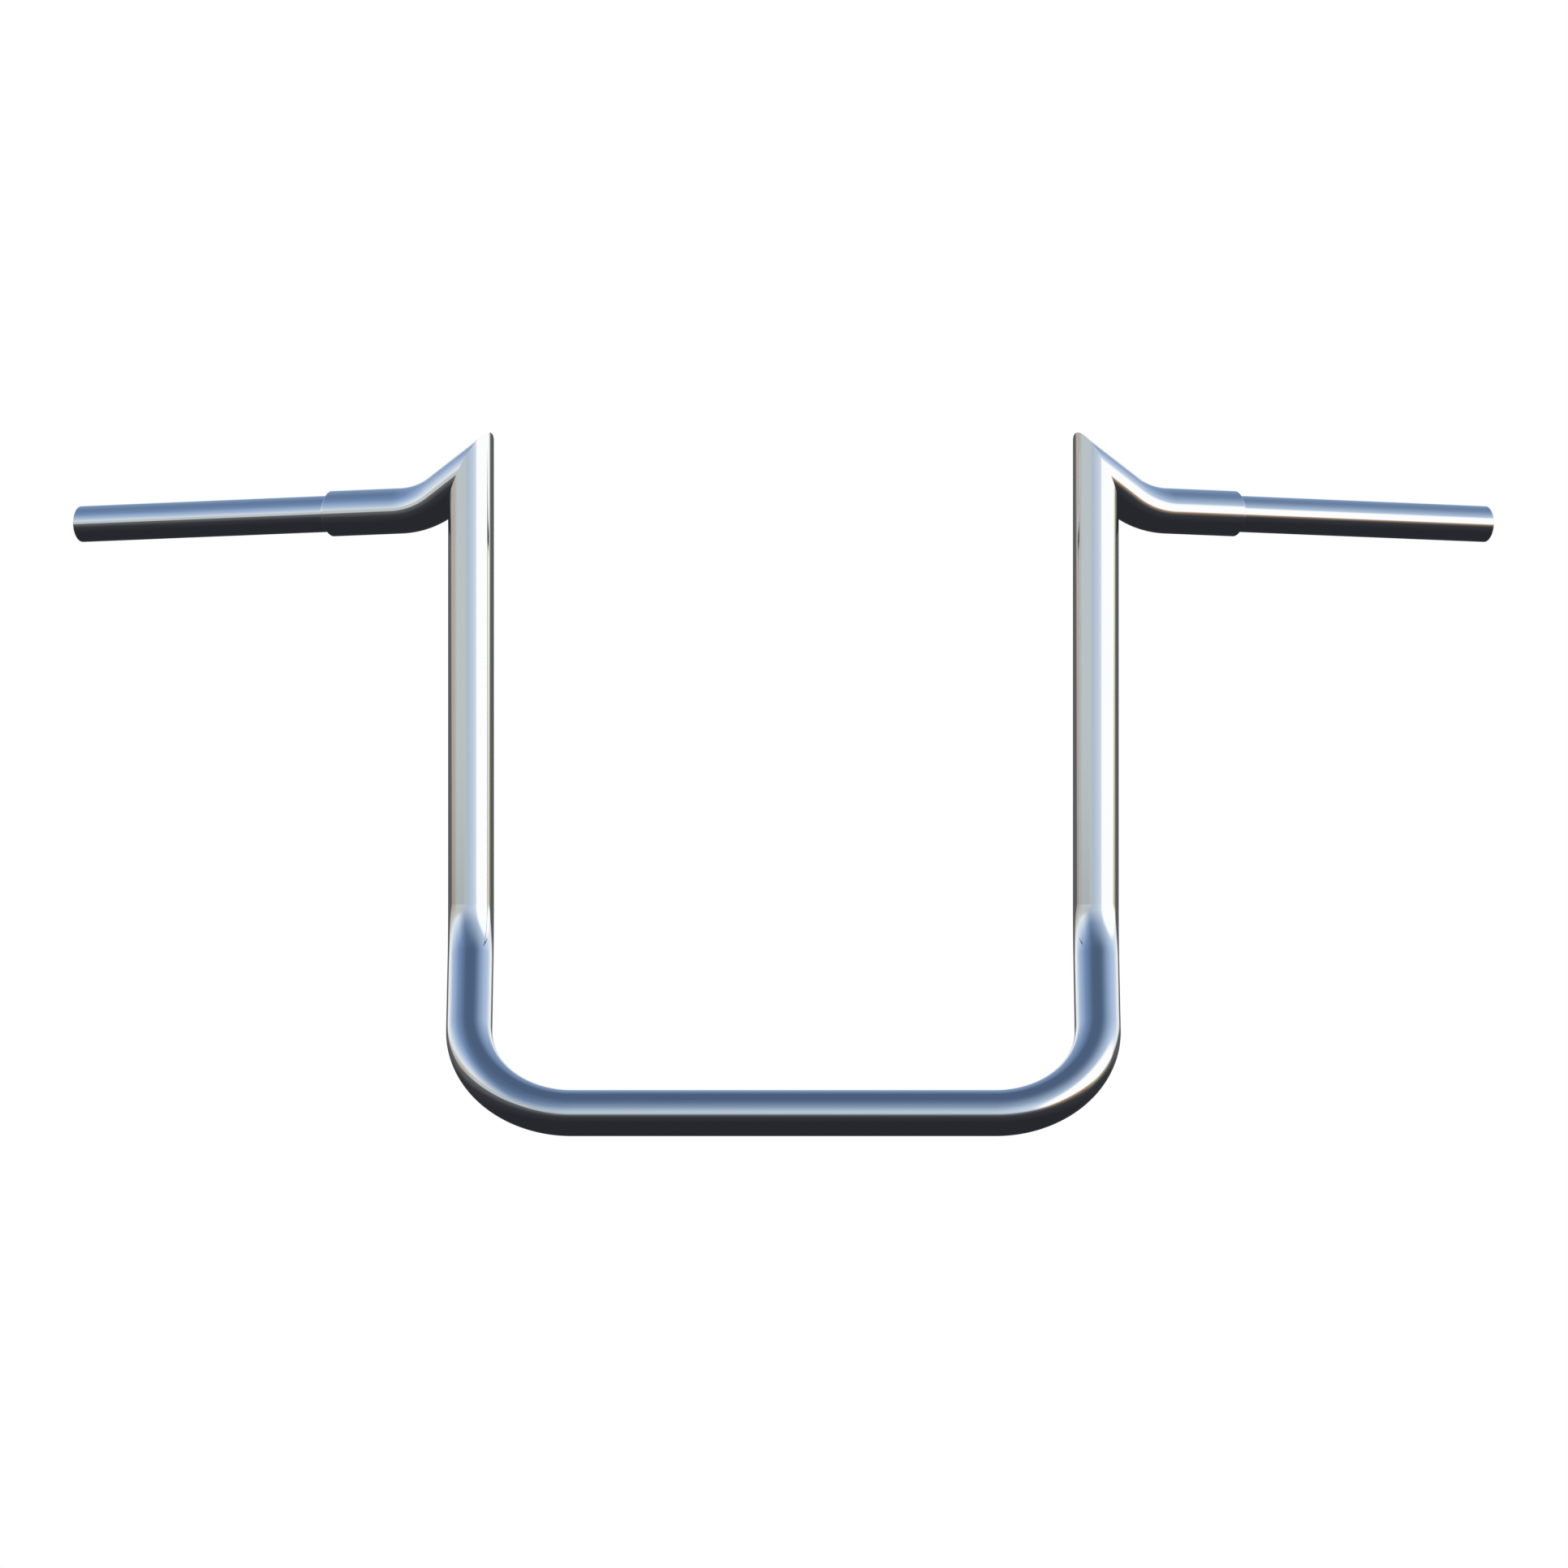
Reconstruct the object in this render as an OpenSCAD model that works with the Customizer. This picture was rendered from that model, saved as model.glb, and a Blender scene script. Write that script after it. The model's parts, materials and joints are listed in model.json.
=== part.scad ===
// Ape hanger handlebar with mitred, pointed tops.
// The origin is the middle of the clamp section's axis. X runs along the clamp section, Z runs up the
// risers and Y runs from the clamp section back to the rider. The rider's right is at -X.
// Every bend is given by the radius of the tube's centre line.

/* [Main tube] */
// Outside diameter of the fat tube that the bar and both arms are bent from
tube_d = 31.75; // [30:0.25:36]
// Wall of the fat tube
tube_wall = 3.4; // [3.2:0.1:4]
// Diameter that the tube loses along its bends, inside and out
bend_loss = 0.15; // [0.1:0.05:0.4]
// Distance between the axes of the two risers
riser_spacing = 431.8; // [340:0.1:520]
// Height at which each riser's axis meets its arm's axis, above the clamp section's axis
mitre_height = 439.5; // [350:0.5:640]

/* [Lower bends] */
// Centre line radius of the bend at each lower corner
corner_bend_r = 71; // [55:0.5:80]
// Angle at which the lower legs lean away from the vertical
leg_lean_angle = 39; // [25:0.5:45]
// Height at which each leg's axis would cross its riser's axis, above the clamp section's axis
kick_height = 119; // [112:1:160]
// Centre line radius of the bend from each leg into its riser
kick_bend_r = 64; // [50:0.5:80]

/* [Arms] */
// Angle below the level at which each arm leaves its riser
arm_fall_angle = 31; // [20:0.5:40]
// Angle towards the rider at which each arm leaves its riser
arm_sweep_angle = 36; // [30:0.5:45]
// Straight stretch between the inside corner of the mitre and the arm's bend
arm_lead = 1.5; // [1:0.5:30]
// Centre line radius of the arm's bend
arm_bend_r = 67; // [50:0.5:90]
// Straight length of the arm from its bend to the end where the grip tube enters
arm_end_run = 57; // [45:0.5:90]
// Length of the chamfer at the arm's end, along the axis
chamfer_len = 3; // [2:0.25:5]

/* [Grip tubes] */
// Outside diameter of the stretch of each grip tube that carries the grip
grip_d = 25.4; // [25.2:0.1:29.5]
// Bore of the grip tubes
grip_bore_d = 19; // [16:0.1:22]
// Length of each grip tube that stands out of its arm
grip_len = 200; // [150:1:260]
// Angle at which the grips pull back towards the rider, away from the line of the clamp section
grip_sweep_angle = 27.5; // [20:0.5:29]
// Angle below the level at which the grips run outwards
grip_droop_angle = 1.5; // [0.5:0.25:8]
// Length of the turned spigot that sleeves into the arm
spigot_len = 36; // [20:1:42]
// Radial clearance of the spigot in the arm's bore
spigot_clear = 0.1; // [0.05:0.05:0.3]
// Edge break around the outer ends of the grip tubes
edge_break = 0.5; // [0.2:0.1:1]

/* [Hidden] */
$fn = 96;

// Side of the blocks that stand for everything on one side of a plane
half_space = 3000;

tube_r = tube_d / 2;
tube_bore_r = tube_r - tube_wall;
riser_x = riser_spacing / 2;
riser_y = kick_height * tan(leg_lean_angle);

// Straight stretches between the bends of the main tube
clamp_run = riser_spacing - 2 * corner_bend_r;
kick_tangent = kick_bend_r * tan(leg_lean_angle / 2);
leg_run = kick_height / cos(leg_lean_angle) - corner_bend_r - kick_tangent;
riser_run = mitre_height - kick_height - kick_tangent;

// The mitre plane leans as far from the riser's axis as from the arm's
mitre_tilt = (90 + arm_fall_angle) / 2;
// How far the mitre reaches along a tube's outside, past the point where the axes meet
mitre_reach = tube_r / tan(90 - mitre_tilt);
// The tubes are drawn a little past the mitre before they are cut on it
mitre_over = mitre_reach + tube_wall;
// The inside corner of the mitre comes as far down the arm as its point stands above the axes
arm_run = mitre_reach + arm_lead;

// Directions of the left arm's first stretch and of its grip, and the bend between them
function heading(fall, sweep) = [cos(fall) * cos(sweep), cos(fall) * sin(sweep), -sin(fall)];
arm_dir = heading(arm_fall_angle, arm_sweep_angle);
grip_dir = heading(grip_droop_angle, grip_sweep_angle);
arm_bend = acos(arm_dir * grip_dir);
// The bend's plane, turned about the arm's first stretch
arm_side = [-sin(arm_sweep_angle), cos(arm_sweep_angle), 0];
arm_turn = atan2(grip_dir * arm_side, grip_dir * cross(arm_side, arm_dir));

grip_r = grip_d / 2;
spigot_r = tube_bore_r - spigot_clear;

// Everything above, or below, the plane z = 0
module above() translate([0, 0, half_space / 2]) cube(half_space, center = true);
module below() translate([0, 0, -half_space / 2]) cube(half_space, center = true);

// A solid rod runs along +Z from the origin, and what follows it starts at its end
module straight(r, run) {
    cylinder(r = r, h = run);
    translate([0, 0, run]) children();
}

// The end of a bend that starts along +Z at the origin and turns towards +X
module past_bend(bend_r, angle)
    translate([bend_r, 0, 0]) rotate([0, angle, 0]) translate([-bend_r, 0, 0]) children();

// A solid rod follows that bend, and what follows it starts at its end
module bend(r, bend_r, angle) {
    intersection() {
        translate([bend_r, 0, 0]) rotate([90, 0, 0])
            rotate_extrude() translate([bend_r, 0]) circle(d = 2 * r - bend_loss);
        above();
        past_bend(bend_r, angle) below();
    }
    past_bend(bend_r, angle) children();
}

// Both sides of the bar
module both_sides() {
    children();
    mirror([1, 0, 0]) children();
}

// The frame of the left mitre, with +Z square to its plane and towards the arm
module at_mitre(tilt)
    translate([riser_x, riser_y, mitre_height]) rotate([0, tilt, arm_sweep_angle]) children();

// A rod of radius r along half of the main tube, from the middle of the clamp section to past the mitre
module main_run(r)
    rotate([-leg_lean_angle, 0, 0]) rotate([0, 90, 0])
        straight(r, clamp_run / 2) rotate([0, 0, 180]) bend(r, corner_bend_r, 90)
            straight(r, leg_run) rotate([0, 0, 90]) bend(r, kick_bend_r, leg_lean_angle)
                cylinder(r = r, h = riser_run + mitre_over);

// A rod of radius r along the left arm, from past the mitre to its outer end, and what follows it there
module arm_run_to_end(r, end_run)
    at_mitre(90 + arm_fall_angle) rotate([0, 0, arm_turn]) translate([0, 0, -mitre_over])
        straight(r, mitre_over + arm_run) bend(r, arm_bend_r, arm_bend)
            straight(r, end_run) children();

// The frame of the left arm's outer end, with +Z along the grip
module at_arm_end()
    at_mitre(90 + arm_fall_angle) rotate([0, 0, arm_turn]) translate([0, 0, arm_run])
        past_bend(arm_bend_r, arm_bend) translate([0, 0, arm_end_run]) children();

// One length of tube, bent up at both corners and cut on the mitre at both tops
module main_tube() color("gainsboro")
    difference() {
        both_sides() main_run(tube_r);
        both_sides() main_run(tube_bore_r);
        both_sides() at_mitre(mitre_tilt) above();
    }

// A short bent tube, cut on the mitre where it meets the riser and chamfered down to the grip tube
module arm() color("gainsboro")
    difference() {
        arm_run_to_end(tube_r, arm_end_run - chamfer_len)
            cylinder(r1 = tube_r, r2 = grip_r, h = chamfer_len);
        arm_run_to_end(tube_bore_r, arm_end_run);
        at_mitre(mitre_tilt) below();
    }

// A straight tube with a spigot turned on its inner end; the shoulder seats on the arm's end
module grip_tube() color("gainsboro")
    at_arm_end() difference() {
        union() {
            translate([0, 0, -spigot_len]) cylinder(r = spigot_r, h = spigot_len);
            cylinder(r = grip_r, h = grip_len - edge_break);
            translate([0, 0, grip_len - edge_break])
                cylinder(r1 = grip_r, r2 = grip_r - edge_break, h = edge_break);
        }
        translate([0, 0, -spigot_len]) cylinder(d = grip_bore_d, h = spigot_len + grip_len);
    }

module left_arm() arm();
module right_arm() mirror([1, 0, 0]) arm();
module left_grip_tube() grip_tube();
module right_grip_tube() mirror([1, 0, 0]) grip_tube();

main_tube();
right_arm();
left_arm();
right_grip_tube();
left_grip_tube();
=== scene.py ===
# Ape hanger handlebar in polished chrome, over a pale floor in a white studio.
# Sizes are in millimetres and angles in degrees, as in the part's source, until a mesh is made in metres.
# Axes: X along the clamp section, Y back to the rider, Z up the risers. The camera looks along Y.

import json
from math import acos, ceil, cos, degrees, pi, radians, sin, tan

import bpy
from mathutils import Matrix, Vector


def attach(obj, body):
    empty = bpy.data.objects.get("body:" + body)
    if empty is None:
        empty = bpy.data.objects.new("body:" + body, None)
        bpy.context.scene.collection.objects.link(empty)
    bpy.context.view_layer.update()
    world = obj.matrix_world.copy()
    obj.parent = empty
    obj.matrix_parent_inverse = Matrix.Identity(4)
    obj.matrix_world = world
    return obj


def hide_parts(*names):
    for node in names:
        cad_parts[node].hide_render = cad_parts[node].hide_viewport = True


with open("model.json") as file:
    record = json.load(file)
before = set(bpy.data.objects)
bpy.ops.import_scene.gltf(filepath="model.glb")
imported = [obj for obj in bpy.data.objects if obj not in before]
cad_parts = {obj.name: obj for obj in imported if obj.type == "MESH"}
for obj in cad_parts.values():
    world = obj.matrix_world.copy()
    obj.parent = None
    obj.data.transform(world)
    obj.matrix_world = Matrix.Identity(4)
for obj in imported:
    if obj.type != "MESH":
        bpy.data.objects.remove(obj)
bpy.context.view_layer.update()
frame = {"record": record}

MM = 0.001
ACROSS = Vector((1, 0, 0))
UP = Vector((0, 0, 1))

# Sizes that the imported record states
mounts = {mount["name"]: mount for mount in frame["record"]["mounts"]}
TUBE_R = mounts["clamp_zone"]["dims"]["r_mm"]
CLAMP_RUN = mounts["clamp_zone"]["dims"]["length_mm"]
GRIP_R = mounts["left_grip_seat"]["dims"]["r_mm"]
GRIP_BORE_R = mounts["left_bar_end"]["dims"]["r_mm"]

# Sizes of the tubes, where a bend's radius is that of its centre line
TUBE_WALL = 3.4
CORNER_BEND_R = 71
LEG_LEAN = 39
KICK_HEIGHT = 119
KICK_BEND_R = 64
MITRE_HEIGHT = 439.5
ARM_FALL, ARM_SWEEP = 31, 36
ARM_LEAD = 1.5
ARM_BEND_R = 67
ARM_END_RUN = 57
CHAMFER_LEN = 3
GRIP_LEN = 200
GRIP_SWEEP, GRIP_DROOP = 27.5, 1.5
SPIGOT_LEN = 36
SPIGOT_CLEAR = 0.1

# Small roundings that only the looks need
CHAMFER_ROUND = 0.5
END_ROUND = 0.5

# Points round each ring of a tube's skin
SIDES = 128
# Degrees from one ring of a bend to the next, at most
BEND_STEP = 2.0
# Steps round a rounded edge
ROUND_STEPS = 5
# Distance from an edge or a bend to the extra ring that keeps the shading beside it true
GUARD = 0.4

RISER_X = CLAMP_RUN / 2 + CORNER_BEND_R
RISER_Y = KICK_HEIGHT * tan(radians(LEG_LEAN))
KICK_TANGENT = KICK_BEND_R * tan(radians(LEG_LEAN / 2))
LEG_RUN = KICK_HEIGHT / cos(radians(LEG_LEAN)) - CORNER_BEND_R - KICK_TANGENT
MITRE_TILT = (90 + ARM_FALL) / 2
ARM_RUN = TUBE_R / tan(radians(90 - MITRE_TILT)) + ARM_LEAD
BORE_R = TUBE_R - TUBE_WALL


def heading(fall, sweep):
    """The direction that falls below the level and sweeps back from the left, both in degrees."""
    fall, sweep = radians(fall), radians(sweep)
    return Vector((cos(fall) * cos(sweep), cos(fall) * sin(sweep), -sin(fall)))


LEG_DIR = Vector((0, sin(radians(LEG_LEAN)), cos(radians(LEG_LEAN))))
ARM_DIR = heading(ARM_FALL, ARM_SWEEP)
GRIP_DIR = heading(GRIP_DROOP, GRIP_SWEEP)
MITRE_POINT = Vector((RISER_X, RISER_Y, MITRE_HEIGHT))
# The mitre plane's normal points from the riser into the arm
MITRE_NORMAL = (ARM_DIR + UP).normalized()


# Centre lines: a station is a 4x4 frame on the line, with its Z axis along it
def frame_at(point, along, side):
    """A frame at a point, with Z along the line and X as near as can be to side."""
    z = along.normalized()
    x = (side - side.dot(z) * z).normalized()
    return Matrix.Translation(point) @ Matrix((x, z.cross(x), z)).transposed().to_4x4()


def moved(station, distance):
    """The station, moved that far along its own Z axis."""
    return station @ Matrix.Translation((0, 0, distance))


def bend(station, radius, angle, towards):
    """Stations along a bend of that radius and angle, which turns to the direction called towards."""
    z = station.col[2].to_3d()
    side = (towards - towards.dot(z) * z).normalized()
    centre = Matrix.Translation(station.translation + radius * side)
    steps = ceil(angle / BEND_STEP)
    turns = (Matrix.Rotation(radians(angle * k / steps), 4, z.cross(side)) for k in range(1, steps + 1))
    return [centre @ turn @ centre.inverted() @ station for turn in turns]


def straight(station, run):
    """Stations along a straight run, with one close to each end so that its shading stays true."""
    return [moved(station, distance) for distance in (GUARD, run - GUARD, run)]


def main_tube_line():
    """Stations from the middle of the clamp section to just past the left kick bend."""
    line = [frame_at(Vector((0, 0, 0)), ACROSS, UP)]
    line += straight(line[-1], CLAMP_RUN / 2)
    line += bend(line[-1], CORNER_BEND_R, 90, LEG_DIR)
    line += straight(line[-1], LEG_RUN)
    line += bend(line[-1], KICK_BEND_R, LEG_LEAN, UP)
    return line + [moved(line[-1], GUARD)]


def arm_line():
    """Stations along the left arm's bend, from the end of the short stretch beside the mitre."""
    line = [moved(frame_at(MITRE_POINT, ARM_DIR, UP), ARM_RUN)]
    bend_angle = degrees(acos(ARM_DIR.dot(GRIP_DIR)))
    return line + bend(line[-1], ARM_BEND_R, bend_angle, GRIP_DIR)


def arm_end():
    """The station at the left arm's outer end, where the grip tube's shoulder seats."""
    return moved(arm_line()[-1], ARM_END_RUN)


# Tube skins: a ring of points goes round each station
def ring(station, radius):
    angles = (2 * pi * k / SIDES for k in range(SIDES))
    return [station @ Vector((radius * cos(angle), radius * sin(angle), 0)) for angle in angles]


def profile_rings(station, profile):
    """Rings round a straight tube, by points of (distance past the station, radius)."""
    return [ring(moved(station, along), radius) for along, radius in profile]


def slid_to_mitre(points, along, distance=0.0):
    """The points moved along the tube onto the mitre plane, or onto the plane that far past it."""
    target = MITRE_POINT + distance * MITRE_NORMAL
    return [p + along * ((target - p).dot(MITRE_NORMAL) / along.dot(MITRE_NORMAL)) for p in points]


def mirrored(rings):
    """The rings on the other side of the bar, with their points in the same order."""
    return [[Vector((-p.x, p.y, p.z)) for p in points] for points in rings]


def rounded(corner, before, after, radius):
    """Profile points round a corner between two other profile points."""
    corner, before, after = Vector(corner), Vector(before), Vector(after)
    a, b = (before - corner).normalized(), (after - corner).normalized()
    half = a.angle(b) / 2
    centre = corner + (a + b).normalized() * radius / sin(half)
    start = corner + a * radius / tan(half) - centre
    end = corner + b * radius / tan(half) - centre
    whole = start.angle(end)
    return [
        tuple(centre + (start * sin(whole * (1 - t)) + end * sin(whole * t)) / sin(whole))
        for t in (k / ROUND_STEPS for k in range(ROUND_STEPS + 1))
    ]


def end_creases(outside, bore):
    """The numbers of the rings at the ends of a tube's outside and of its bore, which are sharp edges."""
    return {0, len(outside) - 1, len(outside), len(outside) + len(bore) - 1}


def new_object(name, data):
    """A new object in the scene, made of that data."""
    made = bpy.data.objects.new(name, data)
    bpy.context.scene.collection.objects.link(made)
    return made


def closed_skin(name, rings, sharp):
    """A closed mesh piece through the rings and back to the first, with creases at those in sharp."""
    points = [p * MM for ring_points in rings for p in ring_points]
    faces = []
    for k in range(len(rings)):
        a, b = k * SIDES, (k + 1) % len(rings) * SIDES
        faces += [(a + i, a + (i + 1) % SIDES, b + (i + 1) % SIDES, b + i) for i in range(SIDES)]
    mesh = bpy.data.meshes.new(name)
    mesh.from_pydata(points, [], faces)
    mesh.validate()
    mesh.shade_smooth()
    for edge in mesh.edges:
        i, j = (vertex // SIDES for vertex in edge.vertices)
        edge.use_edge_sharp = i == j and i in sharp
    return new_object(name, mesh)


def half_main_tube(radius):
    """Rings of that radius from the middle of the clamp section to the left mitre."""
    rings = [ring(station, radius) for station in main_tube_line()]
    return rings + [slid_to_mitre(rings[-1], UP, -GUARD), slid_to_mitre(rings[-1], UP)]


def main_tube():
    """The bent tube: its outside from the right mitre to the left one, and its bore back again."""
    def whole(radius):
        half = half_main_tube(radius)
        return mirrored(half[:0:-1]) + half

    outside, bore = whole(TUBE_R), whole(BORE_R)
    return closed_skin("bent_main_tube", outside + bore[::-1], end_creases(outside, bore))


def arm_rings():
    """The left arm's rings along its outside to its end and back along its bore, and the sharp ones."""
    line, end = arm_line(), arm_end()

    def bent(radius):
        first = ring(line[0], radius)
        mitre = [slid_to_mitre(first, ARM_DIR), slid_to_mitre(first, ARM_DIR, GUARD)]
        return mitre + [ring(station, radius) for station in line]

    top, foot = (-CHAMFER_LEN, TUBE_R), (0, GRIP_R)
    shoulder = rounded(top, (-ARM_END_RUN, TUBE_R), foot, CHAMFER_ROUND)
    # An extra ring on the chamfer, close to its foot
    lift = GUARD / 2
    near_foot = (-lift, GRIP_R + lift * (TUBE_R - GRIP_R) / CHAMFER_LEN)
    run = [(GUARD - ARM_END_RUN, TUBE_R), (shoulder[0][0] - GUARD, TUBE_R)]
    profile = run + shoulder + [near_foot, foot]
    outside = bent(TUBE_R) + profile_rings(end, profile)
    bore = profile_rings(end, [(0, BORE_R)]) + bent(BORE_R)[::-1]
    return outside + bore, end_creases(outside, bore)


def grip_rings():
    """The left grip tube's rings from the spigot's inner end out and back, and the sharp ones."""
    spigot_r = BORE_R - SPIGOT_CLEAR
    tip, mouth = (GRIP_LEN, GRIP_R), (GRIP_LEN, GRIP_BORE_R)
    before_round = GRIP_LEN - END_ROUND - GUARD
    profile = [(-SPIGOT_LEN, spigot_r), (0, spigot_r), (0, GRIP_R), (GUARD, GRIP_R), (before_round, GRIP_R)]
    profile += rounded(tip, (0, GRIP_R), mouth, END_ROUND)
    profile += rounded(mouth, tip, (0, GRIP_BORE_R), END_ROUND)
    profile += [(before_round, GRIP_BORE_R), (-SPIGOT_LEN, GRIP_BORE_R)]
    # Creases at the spigot's inner end, in the shoulder's corner, on its edge and at the bore's inner end
    return profile_rings(arm_end(), profile), {0, 1, 2, len(profile) - 1}


def both_sides(name, rings, sharp):
    """The left piece through those rings, and its mirror image."""
    left = closed_skin("left_" + name, rings, sharp)
    # Each ring runs the other way round, so that the mirrored faces still look outwards
    right = closed_skin("right_" + name, mirrored(points[::-1] for points in rings), sharp)
    return {"left": left, "right": right}


# Nodes: a value is a number, a colour, an output, or a node that stands for its first output
def with_inputs(tree, node, values):
    """The node, after its inputs are set to the values that are given by name or number."""
    for key, value in values.items():
        socket = node.inputs[key]
        if isinstance(value, bpy.types.Node):
            value = value.outputs[0]
        if isinstance(value, bpy.types.NodeSocket):
            tree.links.new(value, socket)
        elif socket.type == "RGBA":
            socket.default_value = (*value, 1)
        else:
            socket.default_value = value
    return node


def new_node(tree, kind, values=None):
    """A new node of that kind, with those values for its inputs."""
    return with_inputs(tree, tree.nodes.new(kind), values or {})


def maths(tree, operation, *values):
    """A node that does that operation on numbers."""
    node = tree.nodes.new("ShaderNodeMath")
    node.operation = operation
    return with_inputs(tree, node, dict(enumerate(values)))


def vector_maths(tree, operation, *values):
    """A node that does that operation on vectors."""
    node = tree.nodes.new("ShaderNodeVectorMath")
    node.operation = operation
    return with_inputs(tree, node, dict(enumerate(values)))


def step(tree, value, low, high):
    """0 at low and 1 at high, with a soft way between. Low may be the larger of the two."""
    node = tree.nodes.new("ShaderNodeMapRange")
    node.interpolation_type = "SMOOTHSTEP"
    return with_inputs(tree, node, {"Value": value, "From Min": low, "From Max": high})


def mixed(tree, share, a, b):
    """Colour a where share is 0 and colour b where it is 1."""
    node = tree.nodes.new("ShaderNodeMix")
    node.data_type = "RGBA"
    return with_inputs(tree, node, {"Factor": share, "A": a, "B": b}).outputs["Result"]


def ramp(tree, value, reach, stops):
    """A colour or a share by value, for values from -reach to reach.

    Stops are pairs of a value and its colour or share, from the least value to the greatest.
    """
    place = maths(tree, "ADD", maths(tree, "DIVIDE", value, 2 * reach), 0.5)
    node = new_node(tree, "ShaderNodeValToRGB", {"Fac": place})
    elements = node.color_ramp.elements
    for k, (at, colour) in enumerate(stops):
        element = elements[k] if k < len(elements) else elements.new(1)
        element.position = 0.5 + at / (2 * reach)
        element.color = (*colour, 1) if isinstance(colour, tuple) else (colour, colour, colour, 1)
    return node.outputs["Color"]


def new_material(name):
    """A material and its empty node tree."""
    material = bpy.data.materials.new(name)
    material.use_nodes = True
    material.node_tree.nodes.clear()
    return material, material.node_tree


# Chrome plate where its polishing haze is thinnest and where it is thickest
CLEAR_ROUGHNESS, HAZY_ROUGHNESS = 0.035, 0.07
CLEAR_TINT, HAZY_TINT = (0.960, 0.965, 0.970), (0.980, 0.985, 0.990)
# Patches of haze and waves of the bent tube, by their number in a metre and how detailed they are
HAZE_SCALE, HAZE_DETAIL = 9.0, 3.0
WAVE_SCALE, WAVE_DETAIL = 40.0, 1.0
WAVE_STRENGTH = 0.02
WAVE_DEPTH = 0.5 * MM


def noise(tree, place, scale, detail):
    """Soft noise from 0 to 1."""
    values = {"Vector": place, "Scale": scale, "Detail": detail}
    return new_node(tree, "ShaderNodeTexNoise", values).outputs["Fac"]


def polished_chrome():
    """A clear mirror with a faint polishing haze and the slightest waviness of a bent tube."""
    material, tree = new_material("chrome_plate")
    place = new_node(tree, "ShaderNodeTexCoord").outputs["Object"]
    haze = noise(tree, place, HAZE_SCALE, HAZE_DETAIL)
    tint = mixed(tree, haze, CLEAR_TINT, HAZY_TINT)
    spread = {"Value": haze, "To Min": CLEAR_ROUGHNESS, "To Max": HAZY_ROUGHNESS}
    roughness = new_node(tree, "ShaderNodeMapRange", spread)
    wave = noise(tree, place, WAVE_SCALE, WAVE_DETAIL)
    waves = {"Strength": WAVE_STRENGTH, "Distance": WAVE_DEPTH, "Height": wave}
    bump = new_node(tree, "ShaderNodeBump", waves)
    plate = {"Metallic": 1.0, "Base Color": tint, "Roughness": roughness, "Normal": bump}
    shader = new_node(tree, "ShaderNodeBsdfPrincipled", plate)
    new_node(tree, "ShaderNodeOutputMaterial", {"Surface": shader})
    return material


def dress(piece, node, material):
    """Gives a piece its material and puts it in the place of a node of the part."""
    piece.data.materials.append(material)
    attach(piece, "root")
    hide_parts(node)


# Studio, with its sizes in metres
FLOOR_Z = -0.45
FLOOR_REACH = 12.0
FLOOR_SIDES = 128
FLOOR_PAINT = (0.97, 0.97, 0.97)
# Where the floor starts to fade into the background and where it is gone, from the clamp section's middle
FADE_START, FADE_END = 1.0, 2.1
CARD_REACH = 25.0
CARD_SIDES, CARD_RINGS = 64, 32

# The world's strength as a light, where the background that is seen has 1
WORLD_LEVEL = 0.65
# A lamp high up in front, for the shadow on the floor
LAMP_PLACE = Vector((-0.7, -0.9, 3.4))
LAMP_SIZE = 0.8
LAMP_POWER = 65
BAR_MIDDLE = Vector((0, 0, 0.2))

# Colours painted on the glowing cards that the chrome mirrors: the sky, the haze at the horizon, the glare
# round the gap, the ground
ZENITH = (0.072, 0.117, 0.208)
DEEP_SKY = (0.098, 0.156, 0.272)
SKY = (0.155, 0.237, 0.380)
SIDE_SKY = (0.177, 0.276, 0.470)
BACK_SKY = (0.250, 0.350, 0.530)
PALE_SKY = (0.350, 0.470, 0.670)
BLUE_HAZE = (0.412, 0.488, 0.592)
HAZE = (0.500, 0.555, 0.562)
WHITE = (0.950, 0.975, 1.000)
WHITE_HAZE = (0.740, 0.815, 0.870)
SAND_HAZE = (0.560, 0.540, 0.500)
BEIGE_HAZE = (0.440, 0.390, 0.350)
GLARE = (0.750, 0.870, 1.000)
# Painted sunlight on the ground below the gap, in two warm colours
SUNLIT_EARTH = (0.420, 0.250, 0.120)
SUNLIT_OLIVE = (0.430, 0.400, 0.230)
DUSK = (0.105, 0.107, 0.113)
SHADE = (0.033, 0.036, 0.042)
GROUND = (0.020, 0.022, 0.027)

# Places on the cards: height is above the horizon, turn is 0 on the camera's side and grows to the right.
# These are their greatest values, either way.
HEIGHT_REACH, TURN_REACH = 90, 180
# The gap in the cards, through which the chrome mirrors the white background: its middle by turn and
# height, and how much wider it is than high
GAP_TURN, GAP_HEIGHT = 71, 2
GAP_WIDENING = 1.85
# The middle of the glare round the gap
GLARE_TURN = 62
# How far the ground rises behind the bar
RISE = 9
# Where the ground starts to turn into sky and where it has done so, and how much lower that starts in
# front of the bar
SKY_FOOT, SKY_TOP = -3.0, 1.0
SKY_DIP = 8.0
# Heights between which each of these fades in, from none of it to all of it
HAZE_FADE = 9, 1
GLARE_FADE = 76, 46
# The painted sunlight on the ground below the gap fades in between these heights
SUNLIT_EARTH_FADE = -15, -3
GAP_FADE = -6, 0


def bearing(tree, direction):
    """The height and the turn of a direction."""
    x, y, z = new_node(tree, "ShaderNodeSeparateXYZ", {0: direction}).outputs
    height = maths(tree, "DEGREES", maths(tree, "ARCSINE", z))
    turn = maths(tree, "DEGREES", maths(tree, "ARCTAN2", x, maths(tree, "MULTIPLY", y, -1.0)))
    return height, turn


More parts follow.
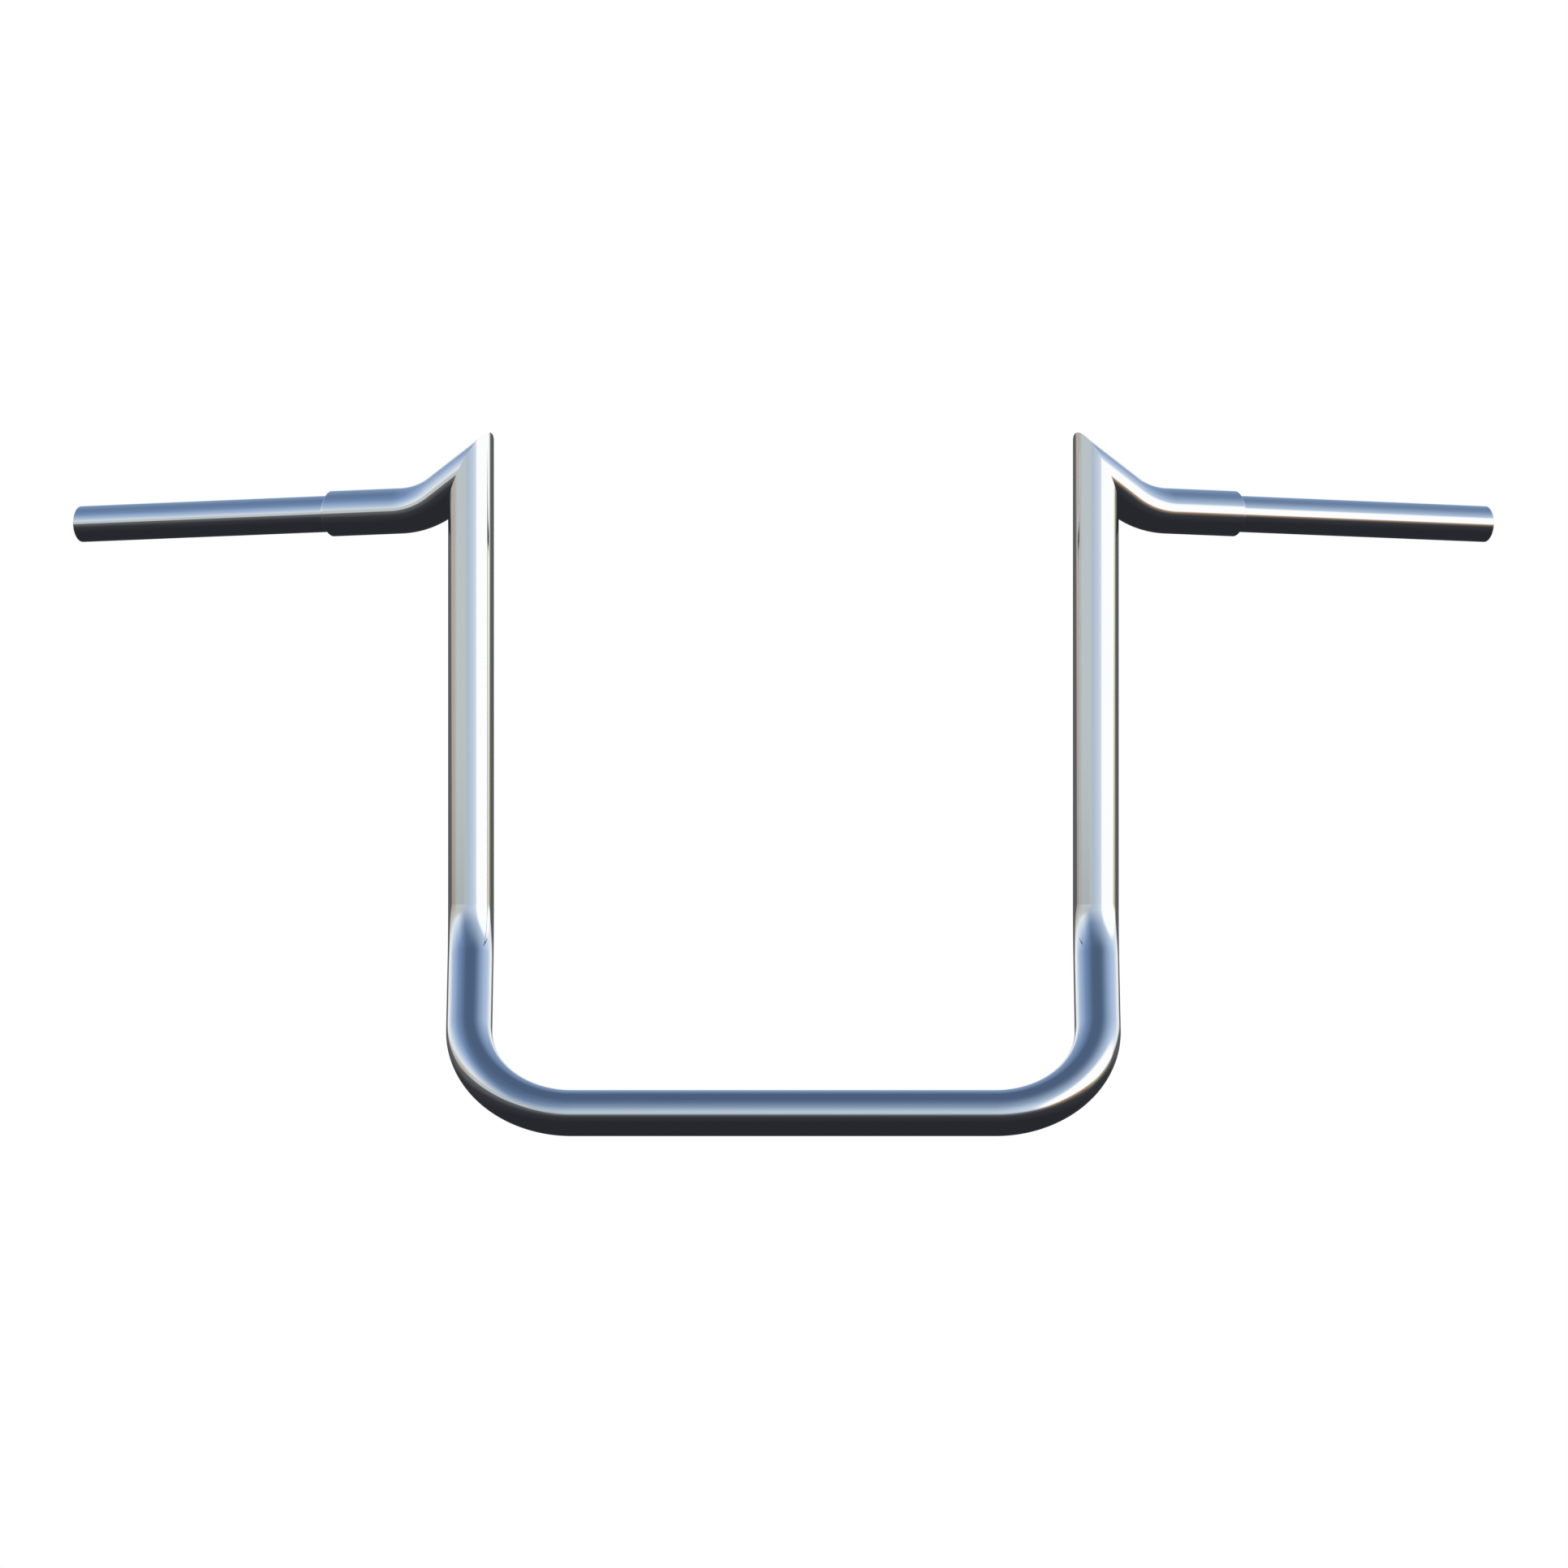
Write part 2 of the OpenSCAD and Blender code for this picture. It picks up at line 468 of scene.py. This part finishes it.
def apart(tree, direction, turn):
    """Degrees between a direction and the place at the gap's height and that turn.

    Heights count for more than turns, so what is drawn by it is wider than it is high.
    """
    flat = vector_maths(tree, "MULTIPLY", direction, (1, 1, GAP_WIDENING))
    middle = Vector((sin(radians(turn)), -cos(radians(turn)), GAP_WIDENING * tan(radians(GAP_HEIGHT))))
    across = vector_maths(tree, "DOT_PRODUCT", vector_maths(tree, "NORMALIZE", flat), middle.normalized())
    return maths(tree, "DEGREES", maths(tree, "ARCCOSINE", across.outputs["Value"]))


def sky_colour(tree, height, turn):
    """The sky in front of, beside and behind the bar, with the haze close to the horizon."""
    front = ramp(tree, height, HEIGHT_REACH, [(8, BLUE_HAZE), (30, SKY), (50, DEEP_SKY), (76, ZENITH)])
    side = ramp(tree, height, HEIGHT_REACH, [
        (1, HAZE), (8, SAND_HAZE), (13, WHITE_HAZE), (31, PALE_SKY), (46, SIDE_SKY), (72, ZENITH),
    ])
    back = ramp(tree, height, HEIGHT_REACH, [
        (2, BEIGE_HAZE), (6, SAND_HAZE), (10, WHITE), (15, WHITE_HAZE),
        (26, BACK_SKY), (42, SIDE_SKY), (52, SKY), (70, ZENITH),
    ])
    beside = ramp(tree, turn, TURN_REACH, [(-70, 1.0), (-35, 0.0), (30, 0.0), (90, 1.0)])
    behind = ramp(tree, turn, TURN_REACH, [(-145, 1.0), (-105, 0.0), (105, 0.0), (145, 1.0)])
    sky = mixed(tree, behind, mixed(tree, beside, front, side), back)

    # The haze close to the horizon runs from beige on the left to blue in front
    haze = ramp(tree, turn, TURN_REACH, [(-92, BEIGE_HAZE), (-74, HAZE), (-30, HAZE), (-14, BLUE_HAZE)])
    hazy = ramp(tree, turn, TURN_REACH, [(-130, 0.0), (-105, 1.0), (30, 1.0), (60, 0.0)])
    return mixed(tree, maths(tree, "MULTIPLY", hazy, step(tree, height, *HAZE_FADE)), sky, haze)


def with_glare(tree, sky, direction, height):
    """The sky with the glare round the gap, which ends high up."""
    glare = ramp(tree, apart(tree, direction, GLARE_TURN), TURN_REACH, [
        (30, 0.90), (38, 0.58), (47, 0.40), (55, 0.29), (63, 0.19), (72, 0.09), (84, 0.0),
    ])
    return mixed(tree, maths(tree, "MULTIPLY", glare, step(tree, height, *GLARE_FADE)), sky, GLARE)


def above_ground(tree, height, turn):
    """Degrees above the edge of the ground, which stands higher behind the bar."""
    rise = ramp(tree, turn, TURN_REACH, [
        (-180, 0.3), (-145, 0.9), (-122, 0.45), (-106, 0.0), (88, 0.0), (108, 0.6), (132, 1.0), (180, 0.3),
    ])
    return maths(tree, "SUBTRACT", height, maths(tree, "MULTIPLY", rise, RISE))


def ground_colour(tree, above, turn, gap):
    """The ground, with painted sunlight that warms it below the gap."""
    ground = ramp(tree, above, HEIGHT_REACH, [(-45, GROUND), (-20, SHADE), (-7, DUSK)])
    # Painted sunlight: the ground turns warm below the gap
    sunlit_earth = ramp(tree, turn, TURN_REACH, [(78, SUNLIT_EARTH), (90, SUNLIT_OLIVE)])
    return mixed(tree, maths(tree, "MULTIPLY", gap, step(tree, above, *SUNLIT_EARTH_FADE)), ground, sunlit_earth)


def sky_share(tree, above, turn):
    """0 on the ground and 1 in the sky, with a soft way between that starts lower in front of the bar."""
    dip = ramp(tree, turn, TURN_REACH, [(-35, 0.0), (-10, 1.0), (30, 1.0), (60, 0.0)])
    foot = maths(tree, "SUBTRACT", SKY_FOOT, maths(tree, "MULTIPLY", dip, SKY_DIP))
    return step(tree, above, foot, SKY_TOP)


def studio_cards():
    """Glowing cards round the studio that only reflections see: a painted sky and ground, with a gap on the
    right.
    """
    material, tree = new_material("studio_cards")
    position = new_node(tree, "ShaderNodeNewGeometry").outputs["Position"]
    direction = vector_maths(tree, "NORMALIZE", position)
    height, turn = bearing(tree, direction)
    above = above_ground(tree, height, turn)
    gap = ramp(tree, apart(tree, direction, GAP_TURN), TURN_REACH, [(39, 1.0), (47, 0.0)])
    sky = with_glare(tree, sky_colour(tree, height, turn), direction, height)
    ground = ground_colour(tree, above, turn, gap)
    colour = mixed(tree, sky_share(tree, above, turn), ground, sky)
    glow = new_node(tree, "ShaderNodeEmission", {"Color": colour})
    opening = new_node(tree, "ShaderNodeBsdfTransparent")
    open_share = maths(tree, "MULTIPLY", gap, step(tree, above, *GAP_FADE))
    surface = new_node(tree, "ShaderNodeMixShader", {0: open_share, 1: glow, 2: opening})
    new_node(tree, "ShaderNodeOutputMaterial", {"Surface": surface})

    # The painted sky, glare and ground glow from a sphere round the studio that only reflections see
    bpy.ops.mesh.primitive_uv_sphere_add(segments=CARD_SIDES, ring_count=CARD_RINGS, radius=CARD_REACH)
    cards = bpy.context.object
    cards.name = "studio_cards"
    cards.data.materials.append(material)
    cards.visible_camera = cards.visible_diffuse = cards.visible_transmission = False
    cards.visible_volume_scatter = cards.visible_shadow = False


def background_rays(tree):
    """1 for the rays that see the white background, and 0 for those that only gather light.

    The camera's rays see it, and so do those that metal mirrors or that glass lets through.
    """
    path = new_node(tree, "ShaderNodeLightPath")
    seen = maths(tree, "MAXIMUM", path.outputs["Is Camera Ray"], path.outputs["Is Glossy Ray"])
    return maths(tree, "MAXIMUM", seen, path.outputs["Is Transmission Ray"])


def floor():
    """A white floor that fades into the background and keeps the bar's soft shadow."""
    material, tree = new_material("studio_floor")
    paint = new_node(tree, "ShaderNodeBsdfDiffuse", {"Color": FLOOR_PAINT})
    white = new_node(tree, "ShaderNodeEmission")
    position = new_node(tree, "ShaderNodeNewGeometry").outputs["Position"]
    distance = vector_maths(tree, "LENGTH", position).outputs["Value"]
    ends = {"Value": distance, "From Min": FADE_START, "From Max": FADE_END}
    fade = new_node(tree, "ShaderNodeMapRange", ends)
    faded = maths(tree, "MULTIPLY", fade, background_rays(tree))
    surface = new_node(tree, "ShaderNodeMixShader", {0: faded, 1: paint, 2: white})
    new_node(tree, "ShaderNodeOutputMaterial", {"Surface": surface})

    bpy.ops.mesh.primitive_circle_add(vertices=FLOOR_SIDES, radius=FLOOR_REACH, fill_type="NGON")
    disc = bpy.context.object
    disc.location.z = FLOOR_Z
    disc.name = "studio_floor"
    disc.data.materials.append(material)
    disc.visible_glossy = False


def world_light():
    """An even white world, which lights the floor less brightly than it shows itself."""
    world = bpy.data.worlds.new("studio")
    bpy.context.scene.world = world
    world.use_nodes = True
    tree = world.node_tree
    tree.nodes.clear()
    level = new_node(tree, "ShaderNodeMix", {"Factor": background_rays(tree), "A": WORLD_LEVEL, "B": 1.0})
    light = {"Color": (1, 1, 1), "Strength": level.outputs["Result"]}
    background = new_node(tree, "ShaderNodeBackground", light)
    new_node(tree, "ShaderNodeOutputWorld", {"Surface": background})


def soft_lamp(name, place, size, power):
    """A square lamp that looks at the bar's middle and shows in no reflection."""
    light = bpy.data.lights.new(name, "AREA")
    light.size = size
    light.energy = power
    lamp = new_object(name, light)
    lamp.location = place
    lamp.rotation_euler = (BAR_MIDDLE - place).to_track_quat("-Z", "Y").to_euler()
    lamp.visible_glossy = False


# Camera, at the place in millimetres that the outline in the photograph gives
CAMERA_X, CAMERA_Y, CAMERA_Z = 0.4, -8600, 224.85
LENS = 288.9
SENSOR = 36
# How far the camera sees, in metres
CLIP_END = 200


def level_camera():
    """A camera in front of the bar, which looks level along Y."""
    camera_data = bpy.data.cameras.new("camera")
    camera_data.lens = LENS
    camera_data.sensor_width = SENSOR
    camera_data.clip_end = CLIP_END
    camera = new_object("camera", camera_data)
    camera.location = Vector((CAMERA_X, CAMERA_Y, CAMERA_Z)) * MM
    camera.rotation_euler = (radians(90), 0, 0)
    return camera


# The bar
chrome = polished_chrome()
dress(main_tube(), "main_tube", chrome)
arms = both_sides("bent_arm", *arm_rings())
grips = both_sides("grip_sleeve", *grip_rings())
for side in ("left", "right"):
    dress(arms[side], side + "_arm", chrome)
    dress(grips[side], side + "_grip_tube", chrome)

# The studio and its camera
studio_cards()
floor()
world_light()
soft_lamp("key_lamp", LAMP_PLACE, LAMP_SIZE, LAMP_POWER)
camera = level_camera()
bpy.context.scene.camera = camera
bpy.context.scene.view_settings.view_transform = "Standard"
